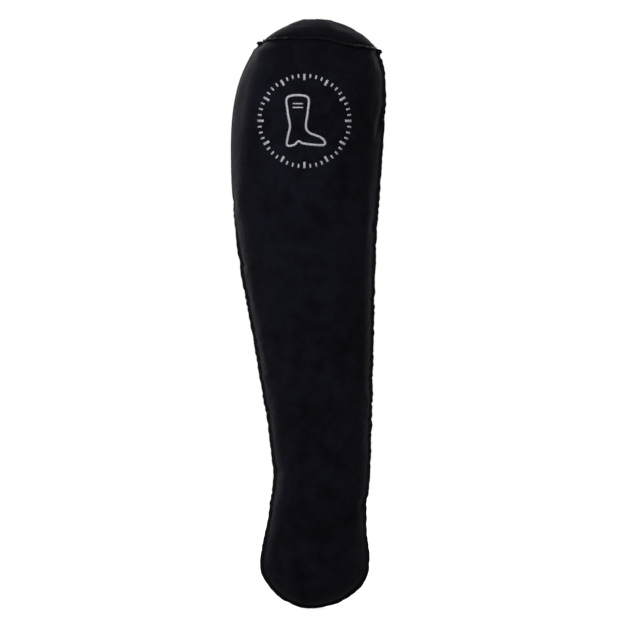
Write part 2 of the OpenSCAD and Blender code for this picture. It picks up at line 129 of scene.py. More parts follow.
class LegSizes(bpy.types.PropertyGroup):
    heights: stations(
        "Heights",
        "Heights of the heel end, instep, ankle, shank, lower calf, calf and shoulder",
        (0.034, 0.068, 0.108, 0.205, 0.275, 0.352, 0.4),
    )
    back: stations(
        "Calf side",
        "Reach of the weld behind the centre line at each height",
        (0.035, 0.0293, 0.0254, 0.04, 0.0522, 0.0571, 0.0517),
    )
    front: stations(
        "Shin side",
        "Reach of the weld in front of the centre line at each height",
        (0.0436, 0.0412, 0.0443, 0.0468, 0.0486, 0.0537, 0.0558),
    )
    depths: stations(
        "Thicknesses",
        "Thickness of the inflated leg at each height",
        (0.058, 0.056, 0.059, 0.076, 0.085, 0.092, 0.088),
    )
    heel_back_round: number("Back roundness", "Roundness of the heel's back quarter", 1.75)
    heel_front_round: number("Front roundness", "Roundness of its front quarter", 1.95)
    mouth_back_z: length("Calf corner height", "Height of the calf side corner", 0.4338)
    mouth_front_z: length(
        "Shin corner height", "Height of the shin side corner", 0.4292
    )
    mouth_back: length("Calf corner reach", "Reach of the calf side corner", 0.0342)
    mouth_front: length("Shin corner reach", "Reach of the shin side corner", 0.0505)
    mouth_depth: length("Mouth thickness", "Distance between the top welds", 0.076)
    mouth_arch: length("Arch", "Rise of the top welds in the middle", 0.004)
    mouth_lean: number("Arch lean", "Share by which the arch leans to the calf side", 0.8)
    dip_places: stations(
        "Dips",
        "Places across the top welds' slow wave",
        (-0.020, -0.005, 0.012, 0.027, 0.046),
    )
    dips: stations(
        "Dip heights",
        "Rise of the top welds at each place",
        (-0.0002, -0.0006, 0.0006, -0.0009, -0.0010),
    )
    dip_width: length("Dip width", "Half the width of a dip", 0.0075)
    dip_reach: length("Dip reach", "How far a dip reaches down the sheets", 0.022)
    fold: angle("Fold", "Angle by which the calf side margin folds back", 105)
    lean: angle("Lean", "Angle by which both side margins lean back", 40)
    fold_span: stations(
        "Fold span", "Lower and upper end of the folded length", (0.268, 0.435)
    )
    crown_rise: length("Crown rise", "Rise of the crown above the corners", 0.0186)
    crown_fullness: number("Crown fullness", "1 is a parabola and 0.5 an ellipse", 0.6)


class SheetSizes(bpy.types.PropertyGroup):
    sheet: length("Sheet", "Thickness of the flocked sheet", 0.0005)
    margin: length("Margin", "Width of the welded margin", 0.0028)
    margin_t: length(
        "Margin thickness", "Thickness of the two sheets once welded", 0.001
    )
    top_margin_t: length(
        "Top thickness", "Thickness of the gathered sheets in the top margins", 0.0015
    )
    ear: length("Ear", "Extra width of the margins at the corners", 0.0022)
    tilt: angle("Tilt", "Angle of the top margins above the horizontal", -11)
    fold_x: length("Fold", "Place across of the fold in the top margins", 0.0342)
    rows: whole("Rows", "Rows of cells up a sheet", 320)
    columns: whole("Columns", "Columns of cells across a sheet", 44)
    rings: whole("Rings", "Rings of cells from the welds to the valve", 16)
    pressure: number("Pressure", "Air pressure in the cloth run", 4.0)
    surplus: number("Surplus", "Extra length of sheet at the welds", 0.03)
    reach: length("Pucker reach", "Distance over which the surplus fades", 0.016)
    drift: length(
        "Drift", "Length over which a slow shift of the sheet is taken out", 0.010
    )
    cap: length("Cap", "Most that a point may move from the plain form", 0.0022)


class ValveSizes(bpy.types.PropertyGroup):
    x: length("Place", "Place of the valve's axis before the centre line", 0.006)
    seat_sink: length("Sink", "Sink of the flat seat below the crown", 0.0007)
    seat_r: length("Seat", "Radius of the flat seat", 0.0096)
    seat_blend: length(
        "Blend", "Width over which the crown runs into the seat", 0.0034
    )
    hole_r: length("Hole", "Radius of the hole in the top sheet", 0.0096)


class BadgeSizes(bpy.types.PropertyGroup):
    x: FloatProperty(
        name="Across", description="Place across", default=-0.0035, unit="LENGTH"
    )
    z: length("Height", "Height of the middle", 0.3736)
    radius: length("Radius", "Radius to the outer ends of the ticks", 0.0355)
    tick: length("Tick", "Length of a tick", 0.0048)
    line: length("Line", "Width of the printed lines", 0.0016)
    ink: length("Ink", "Thickness of the ink", 0.0001)


class Finishes(bpy.types.PropertyGroup):
    flock_deep: colour("Flock, brushed down", "Nap lying away from the eye", "#08080e")
    flock_raised: colour("Flock, raised", "Nap standing towards the eye", "#12121b")
    sheen: colour("Sheen", "Light that the fibre ends send back", "#c4c1cf")
    # Both margin tones are partly the crushed flock's own darkness and partly painted
    # shade: set darker still, so the margins read as the dark shade lines along the welds,
    # even where the rim lamps reach them.
    margin: colour("Margin", "Flock pressed flat by the welding bar", "#07070a")
    margin_worn: colour("Margin, worn", "Margin where the flock is rubbed", "#121218")
    valve: colour("Valve", "Soft PVC of the valve", "#1c1c20")
    ink: colour("Ink", "Silver screen ink", "#b6b7bd")
    ink_thin: colour("Ink, thin", "Ink that sank between the fibres", "#808088")
    floor: colour("Floor", "Pale paper floor", "#a8a8a8")


# Curves and points of the chamber

# Steps of the leg's table round a quarter of the heel end and up to the mouth
QUARTER_STEPS, CLIMB_STEPS = 400, 1600
# Step of the quarter where a sheet's side edge gives way to its bottom edge
CORNER_STEP = 222
# Rows above the heel end whose cells are evened out, and how many times
EVENED_ROWS, EVENINGS = 60, 200
# Where the side margins begin to lean back, and the lengths of weld over which they lean,
# fold and stand upright again
LEAN_FROM, LEAN_OVER, FOLD_OVER, UPRIGHT_OVER = 0.03, 0.03, 0.06, 0.012
# Place of the calf among the leg's heights
CALF = 5
TINY = 1e-9


def slopes(at, values):
    """Slope at each station: level at the heel end, and free at the mouth."""
    out = np.zeros(len(at))
    out[1:-1] = (values[2:] - values[:-2]) / (at[2:] - at[:-2])
    out[-1] = 2 * (values[-1] - values[-2]) / (at[-1] - at[-2]) - out[-2]
    return out


def between(values, slope, i, span, t):
    """A smooth curve's values at the share t of the span that follows its station i."""
    up = 3 * t**2 - 2 * t**3
    return (
        values[i] * (1 - up)
        + values[i + 1] * up
        + span * slope[i] * (t**3 - 2 * t**2 + t)
        + span * slope[i + 1] * (t**3 - t**2)
    )


def along(at, values, z):
    """Values of the smooth curve through the stations at the heights z."""
    at, values = np.array(at), np.array(values)
    slope = slopes(at, values)
    i = np.clip(np.searchsorted(at, z) - 1, 0, len(at) - 2)
    span = at[i + 1] - at[i]
    return between(values, slope, i, span, (z - at[i]) / span)


def ramp(t):
    t = np.clip(t, 0, 1)
    return t * t * (3 - 2 * t)


def unit(v):
    return v / np.maximum(np.linalg.norm(v, axis=-1, keepdims=True), 1e-12)


def run_of(points):
    """Distance along a line of points."""
    steps = np.linalg.norm(np.diff(points, axis=0), axis=1)
    return np.concatenate([[0], np.cumsum(steps)])


def folded(leg, z, side):
    """Angle by which a side margin is folded back at the height z. Both lean back above
    the heel end, and the one on the calf side lies flat against the rear sheet at the calf.
    """
    lean = leg.lean * ramp((z - LEAN_FROM) / LEAN_OVER)
    if side > 0:
        return lean * ramp((leg.mouth_front_z - z) / UPRIGHT_OVER)
    low, high = leg.fold_span
    over = (leg.fold - leg.lean) * ramp((z - low) / FOLD_OVER)
    return (lean + over) * ramp((high - z) / UPRIGHT_OVER)


def stand(leg, z, side, margin, half_t):
    """How far a side margin stands out of the weld at the height z."""
    turn = folded(leg, z, side)
    return margin * np.maximum(np.cos(turn), 0) + half_t * np.sin(turn)


def arc_radius(half, rise):
    """Radius of an arc that rises this far over a chord of this half length."""
    return (half**2 + rise**2) / (2 * rise)


def leg_table(leg, tip, half_t):
    """The leg's cross-sections from the tip of the heel end to the mouth, as arrays. Where
    a margin is folded back, the sheets reach as far as its edge would.
    """
    heel = leg.heights[0]
    turn = np.linspace(0, math.pi / 2, QUARTER_STEPS)
    climb = np.linspace(0, 1, CLIMB_STEPS)[1:]

    def rising(corner_z, values, corner, z):
        return along([*leg.heights, corner_z], [*values, corner], z[QUARTER_STEPS:])

    def side_weld(reaches, roundness, corner, corner_z, side):
        """A side weld from the tip, round its quarter of the heel end, to its corner."""
        z = heel - (heel - tip) * np.cos(turn) ** (2 / roundness)
        z = np.append(z, heel + (corner_z - heel) * climb)
        x = reaches[0] * np.sin(turn) ** (2 / roundness)
        x = np.append(x, rising(corner_z, reaches, corner, z))
        return side * (x + (tip - stand(leg, z, side, tip, half_t))), z

    xb, zb = side_weld(
        leg.back, leg.heel_back_round, leg.mouth_back, leg.mouth_back_z, -1
    )
    xf, zf = side_weld(
        leg.front, leg.heel_front_round, leg.mouth_front, leg.mouth_front_z, 1
    )
    up = (zb + zf) / 2
    mouth = (leg.mouth_back_z + leg.mouth_front_z) / 2
    depth = rising(mouth, leg.depths, leg.mouth_depth, up)
    depth = np.append(leg.depths[0] * np.sin(turn), depth)
    sag = np.maximum(depth / 2, TINY)
    half = np.maximum(np.hypot(xf - xb, zf - zb) / 2, TINY)
    spread = 2 * np.arctan2(sag, half)
    radius = arc_radius(half, sag)
    # Length of sheet from the tip up the middle, which is the flat sheet's own height
    middle = run_of(np.stack([up, sag], -1))
    return {
        "xb": xb,
        "xf": xf,
        "zb": zb,
        "zf": zf,
        "half": half,
        "spread": spread,
        "radius": radius,
        "reach": radius * spread,
        "centre": (xb + xf) / 2,
        "middle": middle,
    }


def mouth_dips(leg, x):
    """Slow rise and fall of the top welds, where the weld pulled the sheet unevenly."""
    width, places = leg.dip_width, zip(leg.dip_places, leg.dips)
    return sum(dip * np.exp(-(((x - place) / width) ** 2)) for place, dip in places)


def leg_points(leg, table, flat):
    """Places on the front of the plain inflated form of points given on the flat sheet."""
    row = {
        k: np.interp(flat[..., 1], table["middle"], table[k])
        for k in table
        if k != "middle"
    }
    share = np.clip((flat[..., 0] - row["centre"]) / row["reach"], -1, 1)
    across = row["radius"] * np.sin(row["spread"] * share)
    y = -row["radius"] * (np.cos(row["spread"] * share) - np.cos(row["spread"]))
    y = np.where(np.abs(share) > 1 - 1e-6, 0, y)
    s = across / row["half"]
    lift = leg.mouth_arch * np.cos(math.pi / 2 * s) * (1 - leg.mouth_lean * s)
    calf = leg.heights[CALF]
    lift = lift * ramp((row["zb"] - calf) / (leg.mouth_back_z - calf))
    x = row["centre"] + (row["xf"] - row["xb"]) / 2 * s
    near = ramp(1 - (leg.mouth_back_z - row["zb"]) / leg.dip_reach)
    z = (row["zb"] + row["zf"]) / 2 + (row["zf"] - row["zb"]) / 2 * s + lift
    return np.stack([x, y, z + near * mouth_dips(leg, x)], -1)


def evenly(points, n):
    """Where n + 1 evenly spaced points stand along a line, as indexes into it."""
    run = run_of(points)
    return np.interp(np.linspace(0, run[-1], n + 1), run, np.arange(len(points)))


def graded(n, closer=0.55):
    """n + 1 shares from -1 to 1 that stand closer together at both ends."""
    t = np.linspace(-1, 1, n + 1)
    return (1 - closer) * t + closer * np.sin(math.pi / 2 * t)


def flat_grid(table, rows, cols):
    """A grid of even cells on the flat sheet. Its sides are the two welds, and its bottom
    edge goes round the heel end.
    """
    left = np.stack([table["centre"] - table["reach"], table["middle"]], -1)
    right = np.stack([table["centre"] + table["reach"], table["middle"]], -1)
    weld_l = np.stack([table["xb"], table["zb"]], -1)
    weld_r = np.stack([table["xf"], table["zf"]], -1)

    def pick(line, at):
        i = np.arange(len(line))
        return np.stack([np.interp(at, i, line[:, c]) for c in (0, 1)], -1)

    def round_tip(l, r):
        end = CORNER_STEP + 1
        return np.concatenate([l[:end][::-1], r[1:end]])

    sides = [
        pick(flat[CORNER_STEP:], evenly(weld[CORNER_STEP:], rows))
        for flat, weld in ((left, weld_l), (right, weld_r))
    ]
    bottom = pick(round_tip(left, right), evenly(round_tip(weld_l, weld_r), cols))
    top = np.stack(
        [
            table["centre"][-1] + table["reach"][-1] * graded(cols),
            np.full(cols + 1, table["middle"][-1]),
        ],
        -1,
    )
    v = np.linspace(0, 1, rows + 1)[:, None, None]
    u = np.linspace(0, 1, cols + 1)[None, :, None]
    # The columns turn from even to graded over the lowest sixth.
    u = u + ((graded(cols)[None, :, None] + 1) / 2 - u) * ramp(v * 6)
    grid = (
        (1 - v) * bottom
        + v * top
        + (1 - u) * sides[0][:, None]
        + u * sides[1][:, None]
        - (1 - v) * ((1 - u) * bottom[0] + u * bottom[-1])
        - v * ((1 - u) * top[0] + u * top[-1])
    )
    grid[:, 0], grid[:, -1], grid[0], grid[-1] = sides[0], sides[1], bottom, top
    # Evens out the cells of the heel end.
    band = EVENED_ROWS
    fade = ramp(2 * np.arange(band, 0, -1) / band)[1:, None, None] * 0.8
    for _ in range(EVENINGS):
        mid = grid[1:band, 1:-1]
        up_and_down = grid[: band - 1, 1:-1] + grid[2 : band + 1, 1:-1]
        near = (up_and_down + grid[1:band, :-2] + grid[1:band, 2:]) / 4
        grid[1:band, 1:-1] = mid + (near - mid) * fade
    return grid


def mouth_line(leg, x):
    share = (x + leg.mouth_back) / (leg.mouth_front + leg.mouth_back)
    return leg.mouth_back_z + (leg.mouth_front_z - leg.mouth_back_z) * share


def mouth_chord(leg):
    """Half the length of the chord across the mouth, and the place of its middle."""
    return (leg.mouth_front + leg.mouth_back) / 2, (leg.mouth_front - leg.mouth_back) / 2


def crown_height(leg, x):
    half, mid = mouth_chord(leg)
    r = arc_radius(half, leg.crown_rise)
    return mouth_line(leg, x) + np.sqrt(r**2 - (x - mid) ** 2) - (r - leg.crown_rise)


def top_points(leg, valve, front_rim, rings):
    """Rings of points from the top welds to the hole for the valve."""
    rear = front_rim[1:-1][::-1] * [1, -1, 1]
    rim = np.concatenate([front_rim, rear])
    way = unit(rim[:, :2] - [valve.x, 0])
    start = [valve.x, 0] + way * valve.hole_r
    t = 1 - np.linspace(0, 1, rings + 1)[:, None, None] ** 1.15
    spot = start + (rim[None, :, :2] - start) * t
    x, y = spot[..., 0], spot[..., 1]
    half, mid = mouth_chord(leg)
    sag = leg.mouth_depth / 2
    r = arc_radius(half, sag)
    reach = np.sqrt(np.maximum(0, r**2 - (x - mid) ** 2)) - (r - sag)
    s = (x - mid) / half
    weld = mouth_line(leg, x) + mouth_dips(leg, x)
    weld = weld + leg.mouth_arch * np.cos(math.pi / 2 * s) * (1 - leg.mouth_lean * s)
    bow = np.maximum(0, 1 - (y / np.maximum(reach, 1e-5)) ** 2) ** leg.crown_fullness
    dome = weld + (crown_height(leg, x) - weld) * bow
    seat = crown_height(leg, valve.x) - valve.seat_sink
    blend = ramp((np.hypot(x - valve.x, y) - valve.seat_r) / valve.seat_blend)
    grid = np.stack([x, y, seat + (dome - seat) * blend], -1)
    grid[0] = rim
    return grid


def quads(index, flip):
    q = np.stack([index[:-1, :-1], index[:-1, 1:], index[1:, 1:], index[1:, :-1]], -1)
    q = q.reshape(-1, 4)
    return q[:, ::-1] if flip else q


def plain_bag(leg, sheets, valve):
    """The closed chamber in its plain form: its points, its faces and the three sheets'
    grids of indexes.
    """
    table = leg_table(leg, sheets.margin, sheets.margin_t / 2)
    front = leg_points(leg, table, flat_grid(table, sheets.rows, sheets.columns))
    front_i = np.arange(front[..., 0].size).reshape(front.shape[:2])
    inner = np.zeros(front_i.shape, bool)
    inner[1:, 1:-1] = True
    rear_i = front_i.copy()
    rear_i[inner] = front_i.size + np.arange(inner.sum())
    rear = (front * [1, -1, 1])[inner]
    top = top_points(leg, valve, front[-1], sheets.rings)
    rim = np.concatenate([front_i[-1], rear_i[-1][1:-1][::-1]])
    start = front_i.size + len(rear)
    rings = start + np.arange(top[1:, :, 0].size).reshape(-1, len(rim))
    top_i = np.concatenate([rim[None], rings])
    points = np.concatenate([front.reshape(-1, 3), rear, top[1:].reshape(-1, 3)])
    closed = np.concatenate([top_i, top_i[:, :1]], 1)
    faces = np.concatenate(
        [quads(front_i, False), quads(rear_i, True), quads(closed, True)]
    )
    return points, faces, front_i, rear_i, top_i


# Objects and their finishes


def mesh_object(name, points, faces, smooth=True):
    mesh = bpy.data.meshes.new(name)
    mesh.from_pydata([tuple(p) for p in points], [], [tuple(f) for f in faces])
    mesh.validate()
    if smooth:
        mesh.shade_smooth()
    obj = bpy.data.objects.new(name, mesh)
    bpy.context.scene.collection.objects.link(obj)
    return obj


def put(tree, kind, inputs=(), **settings):
    """Adds a shader node, sets it, and fills its inputs with values or links."""
    made_node = tree.nodes.new("ShaderNode" + kind)
    for name, value in settings.items():
        setattr(made_node, name, value)
    for name, value in dict(inputs).items():
        if isinstance(value, bpy.types.NodeSocket):
            tree.links.new(value, made_node.inputs[name])
        else:
            made_node.inputs[name].default_value = value
    return made_node


def new_material(name):
    material = bpy.data.materials.new(name)
    material.use_nodes = True
    tree = material.node_tree
    tree.nodes.clear()
    where = put(tree, "TexCoord").outputs["Object"]
    return material, tree, where


def blobs(where, size, detail, roughness):
    """What makes a noise whose blobs are about this many metres across."""
    return {
        "Vector": where,
        "Scale": 0.6 / size,
        "Detail": detail,
        "Roughness": roughness,
    }


def rgba(values):
    return (*values, 1.0)


def flocked_pvc(finish):
    """Flocked PVC sheet: 0.5 mm nylon fibres shot upright into glue on calendered PVC film.
    The eye sees a deep black with no gloss, cloudy where the nap leans, and a soft light at
    the turning edges.
    """
    material, tree, where = new_material("nylon_flock_on_pvc")
    # Handling brushes the nap into clouds some 30 mm and 7 mm across. A fibre is 0.02 mm
    # thick, which can't show, so tufts are drawn 0.8 mm across.
    clouds, strokes, tufts = (
        put(tree, "TexNoise", blobs(where, *look)).outputs["Fac"]
        for look in ((0.030, 3, 0.6), (0.007, 3, 0.65), (0.0008, 2, 0.7))
    )
    both = put(tree, "Math", {0: clouds, 1: strokes}, operation="ADD").outputs[0]
    lean = put(tree, "Math", {0: both, 1: 0.5}, operation="MULTIPLY").outputs[0]
    span = {"Value": lean, "From Min": 0.38, "From Max": 0.62}
    nap = put(tree, "MapRange", span, interpolation_type="SMOOTHSTEP").outputs[0]
    tones = {"Factor": nap, "A": rgba(finish.flock_deep), "B": rgba(finish.flock_raised)}
    base = put(tree, "Mix", tones, data_type="RGBA").outputs["Result"]
    span = {"Value": tufts, "From Min": 0.3, "From Max": 0.7, "To Min": 0.8, "To Max": 1.2}
    speck = put(tree, "MapRange", span).outputs[0]
    tones = {"Factor": 1.0, "A": base, "B": speck}
    tinted = put(tree, "Mix", tones, data_type="RGBA", blend_type="MULTIPLY")
    pile = put(tree, "Bump", {"Height": tufts, "Strength": 0.5, "Distance": 0.0003})
    relief = {"Height": strokes, "Strength": 0.35, "Distance": 0.0006}
    brushed = put(tree, "Bump", {**relief, "Normal": pile.outputs[0]})
    shader = put(
        tree,
        "BsdfPrincipled",
        {
            "Base Color": tinted.outputs["Result"],
            "Roughness": 0.95,
            "IOR": 1.5,
            "Specular IOR Level": 0.05,
            "Sheen Weight": 0.012,
            "Sheen Roughness": 0.25,
            "Sheen Tint": rgba(finish.sheen),
            "Normal": brushed.outputs[0],
        },
    )
    put(tree, "OutputMaterial", {"Surface": shader.outputs[0]})
    return material


def welded_margin(finish):
    """High-frequency welded PVC: two flocked sheets pressed into one under a bar. The flock
    lies crushed, so the band is flatter than the sheet, with worn patches. Its dark tone is
    partly the crushed flock and partly painted shade, set darker still for the shade lines.
    """
    material, tree, where = new_material("crushed_flock_weld_with_painted_shade")
    patches, grain = (
        put(tree, "TexNoise", blobs(where, *look)).outputs["Fac"]
        for look in ((0.004, 3, 0.6), (0.0007, 2, 0.6))
    )
    span = {"Value": patches, "From Min": 0.45, "From Max": 0.75}
    worn = put(tree, "MapRange", span).outputs[0]
    # The darker tone is partly painted shade; the lighter worn patches are real wear.
    tones = {"Factor": worn, "A": rgba(finish.margin), "B": rgba(finish.margin_worn)}
    base = put(tree, "Mix", tones, data_type="RGBA")
    span = {"Value": patches, "From Min": 0.3, "From Max": 0.7}
    rough = put(tree, "MapRange", {**span, "To Min": 0.6, "To Max": 0.85}).outputs[0]
    crushed = put(tree, "Bump", {"Height": grain, "Strength": 0.35, "Distance": 0.0002})
    shader = put(
        tree,
        "BsdfPrincipled",
        {
            "Base Color": base.outputs["Result"],
            "Roughness": rough,
            "IOR": 1.53,
            "Specular IOR Level": 0.04,
            "Normal": crushed.outputs[0],
        },
    )
    put(tree, "OutputMaterial", {"Surface": shader.outputs[0]})
    return material


def valve_pvc(finish):
    """Soft PVC, injection moulded in a satin tool. The eye sees a smooth dark plastic with
    broad, soft highlights and faint flow marks.
    """
    material, tree, where = new_material("moulded_soft_pvc")
    flow = put(tree, "TexNoise", blobs(where, 0.003, 2, 0.5)).outputs["Fac"]
    darker, paler = (rgba([v * share for v in finish.valve]) for share in (0.8, 1.25))
    base = put(tree, "Mix", {"Factor": flow, "A": darker, "B": paler}, data_type="RGBA")
    span = {"Value": flow, "To Min": 0.42, "To Max": 0.56}
    rough = put(tree, "MapRange", span).outputs[0]
    skin = put(tree, "Bump", {"Height": flow, "Strength": 0.15, "Distance": 0.0002})
    shader = put(
        tree,
        "BsdfPrincipled",
        {
            "Base Color": base.outputs["Result"],
            "Roughness": rough,
            "IOR": 1.53,
            "Normal": skin.outputs[0],
        },
    )
    put(tree, "OutputMaterial", {"Surface": shader.outputs[0]})
    return material


def silver_ink(finish):
    """Silver screen ink: aluminium flakes in a flexible binder, pressed into flock. The eye
    sees a pale grey that is dull and slightly broken, where fibres stand through it.
    """
    material, tree, where = new_material("silver_screen_ink")
    # Fibres show through in specks that are drawn 0.5 mm across.
    specks = put(tree, "TexNoise", blobs(where, 0.0005, 2, 0.7)).outputs["Fac"]
    span = {"Value": specks, "From Min": 0.35, "From Max": 0.6}
    cover = put(tree, "MapRange", span).outputs[0]
    tones = {"Factor": cover, "A": rgba(finish.ink_thin), "B": rgba(finish.ink)}
    base = put(tree, "Mix", tones, data_type="RGBA")
    relief = put(tree, "Bump", {"Height": specks, "Strength": 0.3, "Distance": 0.0002})
    shader = put(
        tree,
        "BsdfPrincipled",
        {
            "Base Color": base.outputs["Result"],
            "Metallic": 0.35,
            "Roughness": 0.6,
            "Normal": relief.outputs[0],
        },
    )
    put(tree, "OutputMaterial", {"Surface": shader.outputs[0]})
    return material


def finished(name, maker):
    """The material of that name, made once."""
    if name not in bpy.data.materials:
        maker(bpy.context.scene.boot_shaper_finishes)
    return bpy.data.materials[name]


FLOCK = ("nylon_flock_on_pvc", flocked_pvc)
MARGIN = ("crushed_flock_weld_with_painted_shade", welded_margin)
VALVE = ("moulded_soft_pvc", valve_pvc)
INK = ("silver_screen_ink", silver_ink)


def dress(obj, body, finish, replaced=()):
    """Gives a piece its finish, its body and the nodes that it stands for."""
    obj.data.materials.append(finished(*finish))
    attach(obj, body)
    if replaced:
        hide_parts(*replaced)


def thicken(obj, thickness):
    """Gives a sheet its thickness, inwards from its outer face."""
    solid = obj.modifiers.new("Sheet", "SOLIDIFY")
    solid.thickness = thickness
    solid.offset = -1
    solid.use_even_offset = False


# The cloth run

# Lengths of the waves that start the buckling, and how far they swing
SIDE_PITCHES, SIDE_SWING = (0.009, 0.012, 0.016, 0.021), 0.00025
TOP_PITCHES, TOP_SWING = (0.006, 0.008, 0.011), 0.00022
CLOTH = {
    "quality": 5,
    "mass": 0.3,
    "tension_stiffness": 25,
    "compression_stiffness": 25,
    "shear_stiffness": 10,
    "bending_stiffness": 0.15,
    "tension_damping": 8,
    "compression_damping": 8,
    "air_damping": 3,
    "use_pressure": True,
    "vertex_group_mass": "held",
    "vertex_group_shrink": "surplus",
    "shrink_max": 0.0,
}
CLOTH_FRAMES = 20
# Depth below the top of the crown down to which the valve's seat is looked for
SEAT_DEPTH = 0.009
# Shortest gap between neighbours that counts when a shift spreads over the sheet
SHORTEST_GAP = 0.0012
# Passes that smooth a weld's shift into its slow part
STEADY_PASSES = 120
# Distances from the welds over which that slow part, the puckers and the weld's own
# stiffness fade, and from the corners over which the sheets begin to give
STEADY_REACH, PUCKER_REACH, STIFF_REACH, CORNER_REACH = 0.008, 0.02, 0.006, 0.025


def edges_of(faces):
    e = np.concatenate([faces[:, [i, (i + 1) % 4]] for i in range(4)])
    return np.unique(np.sort(e, 1), axis=0)


def slow_part(shift, edges, points, sigma):
    """What a shift of the points keeps after it has spread over sigma metres of sheet."""
    gap = np.linalg.norm(points[edges[:, 0]] - points[edges[:, 1]], axis=1)
    pull = 1 / np.maximum(gap, SHORTEST_GAP) ** 2
    n = len(points)
    load = np.bincount(edges[:, 0], pull, n) + np.bincount(edges[:, 1], pull, n)
    step = 0.9 / load.max()
    out = shift.copy()
    for _ in range(int(sigma**2 / 2 / step)):
        flow = pull[:, None] * (out[edges[:, 1]] - out[edges[:, 0]])
        for c in range(3):
            out[:, c] += step * (
                np.bincount(edges[:, 0], flow[:, c], n)
                - np.bincount(edges[:, 1], flow[:, c], n)
            )
    return out


def weld_wave(points, random, pitches):
    """An uneven wave along a weld, where the surplus of sheet starts to buckle."""
    run = run_of(points)
    wave = np.zeros(len(run))
    for pitch in pitches:
        first, second = random.random(2) * 2 * math.pi
        slow = np.sin(2 * math.pi * run / (5.3 * pitch) + second)
        wave += np.sin(2 * math.pi * run / pitch + first + 2 * slow)
    return wave / math.sqrt(len(pitches))


def blow_up(bag, sheets, valve, plain, welds):
    """Runs the cloth with air in it, and returns how its puckers move each point."""
    points, faces = plain
    random = np.random.default_rng(7)
    started = points.copy()
    side, front_top, rear_top = welds
    started[side, 1] += SIDE_SWING * weld_wave(points[side], random, SIDE_PITCHES)
    for line in (front_top, rear_top):
        started[line, 2] += TOP_SWING * weld_wave(points[line], random, TOP_PITCHES)
    bag.data.vertices.foreach_set("co", started.astype(np.float32).ravel())
    tree = KDTree(sum(map(len, welds)))
    for i in np.concatenate(welds):
        tree.insert(points[i], int(i))
    tree.balance()
    found = [tree.find(p)[1:] for p in points]
    nearest = np.array([i for i, _ in found])
    away = np.array([gap for _, gap in found])
    loose = np.clip(1 - away / sheets.reach, 0, 1)
    grow = bag.vertex_groups.new(name="surplus")
    for i, share in enumerate(loose):
        grow.add([i], float(1 - share), "REPLACE")
    seat = np.hypot(points[:, 0] - valve.x, points[:, 1]) < valve.seat_r
    seat &= points[:, 2] > points[:, 2].max() - SEAT_DEPTH
    held = bag.vertex_groups.new(name="held")
    held.add(np.flatnonzero(seat).tolist(), 1.0, "REPLACE")
    cloth = bag.modifiers.new("Cloth", "CLOTH")
    for name, value in CLOTH.items():
        setattr(cloth.settings, name, value)
    cloth.settings.uniform_pressure_force = sheets.pressure
    cloth.settings.shrink_min = -sheets.surplus
    cloth.settings.effector_weights.gravity = 0
    cloth.collision_settings.use_collision = False
    cloth.point_cache.frame_start = 1
    cloth.point_cache.frame_end = CLOTH_FRAMES
    scene = bpy.context.scene
    for step in range(CLOTH_FRAMES):
        scene.frame_set(step + 1)
    run = bag.evaluated_get(bpy.context.evaluated_depsgraph_get())
    after = np.zeros(points.size, np.float32)
    run.data.vertices.foreach_get("co", after)
    scene.frame_set(1)
    shift = after.reshape(-1, 3).astype(float) - points
    shift -= slow_part(shift, edges_of(faces), points, sheets.drift)
    # The welds wave to and fro, but on the whole they stay in their places.
    steady = np.zeros(shift.shape)
    for line in welds:
        steady[line] = smoothed(shift[line], STEADY_PASSES)
    shift -= steady[nearest] * np.exp(-away / STEADY_REACH)[:, None]
    shift *= (0.25 + 0.75 * np.exp(-away / PUCKER_REACH))[:, None]
    # Welded, a margin is stiff in its own plane, so it bends out of it instead.
    shift[:, [0, 2]] *= (1 - 0.65 * np.exp(-away / STIFF_REACH))[:, None]
    # The corners, where three sheets are welded to each other, hardly give.
    corners = points[front_top[[0, -1]]]
    gap = np.linalg.norm(points[:, None] - corners[None], axis=2).min(1)
    shift *= (0.2 + 0.8 * ramp(gap / CORNER_REACH))[:, None]
    shift[seat] = 0
    size = np.linalg.norm(shift, axis=1, keepdims=True)
    return shift * sheets.cap * np.tanh(size / sheets.cap) / np.maximum(size, TINY)


class BOOTSHAPER_OT_chamber(bpy.types.Operator):
    """Builds the three flocked sheets of the chamber and puts the air in"""

    bl_idname = "boot_shaper.chamber"
    bl_label = "Inflated Sheets"

    def execute(self, context):
        scene = context.scene
        leg, sheets = scene.boot_shaper_leg, scene.boot_shaper_sheets
        valve = scene.boot_shaper_valve
        points, faces, front, rear, top = plain_bag(leg, sheets, valve)
        side = np.concatenate([front[::-1, 0], front[0, 1:-1], front[:, -1]])
        welds = (side, front[-1], rear[-1])
        bag = mesh_object("bag", points, faces)
        points = points + blow_up(bag, sheets, valve, (points, faces), welds)
        bpy.data.objects.remove(bag)
        made.update(points=points, front=front, rear=rear, top=top)
        closed = np.concatenate([top, top[:, :1]], 1)
        for name, grid, flip, node in (
            ("front_skin", front, False, "front_sheet"),
            ("rear_skin", rear, True, "rear_sheet"),
            ("top_skin", closed, True, "top_sheet"),
        ):
            used, index = np.unique(grid, return_inverse=True)
            index = index.reshape(grid.shape)
            skin = mesh_object(name, points[used], quads(index, flip))
            thicken(skin, sheets.sheet)
            dress(skin, "chamber", FLOCK, (node,))
        return {"FINISHED"}


# The welded margins

# Spacing of a margin's rings of points, and how far in over the sheets its root reaches
MARGIN_STEP, ROOT_END, ROOT_BEND = 0.0008, 0.0014, 0.0007
# Rounding of the free edge
EDGE_ROUND = 0.0003
# Lengths over which the ear grows wider and turns outwards below a corner
EAR_GROWTH, EAR_TURN = 0.0055, 0.006
# Place of the waist below a corner, and its length
WAIST, WAIST_WIDTH = 0.0075, 0.0022
# Depth and width across of the fold in the top margins
FOLD_DEPTH, FOLD_WIDTH = 0.0013, 0.0018


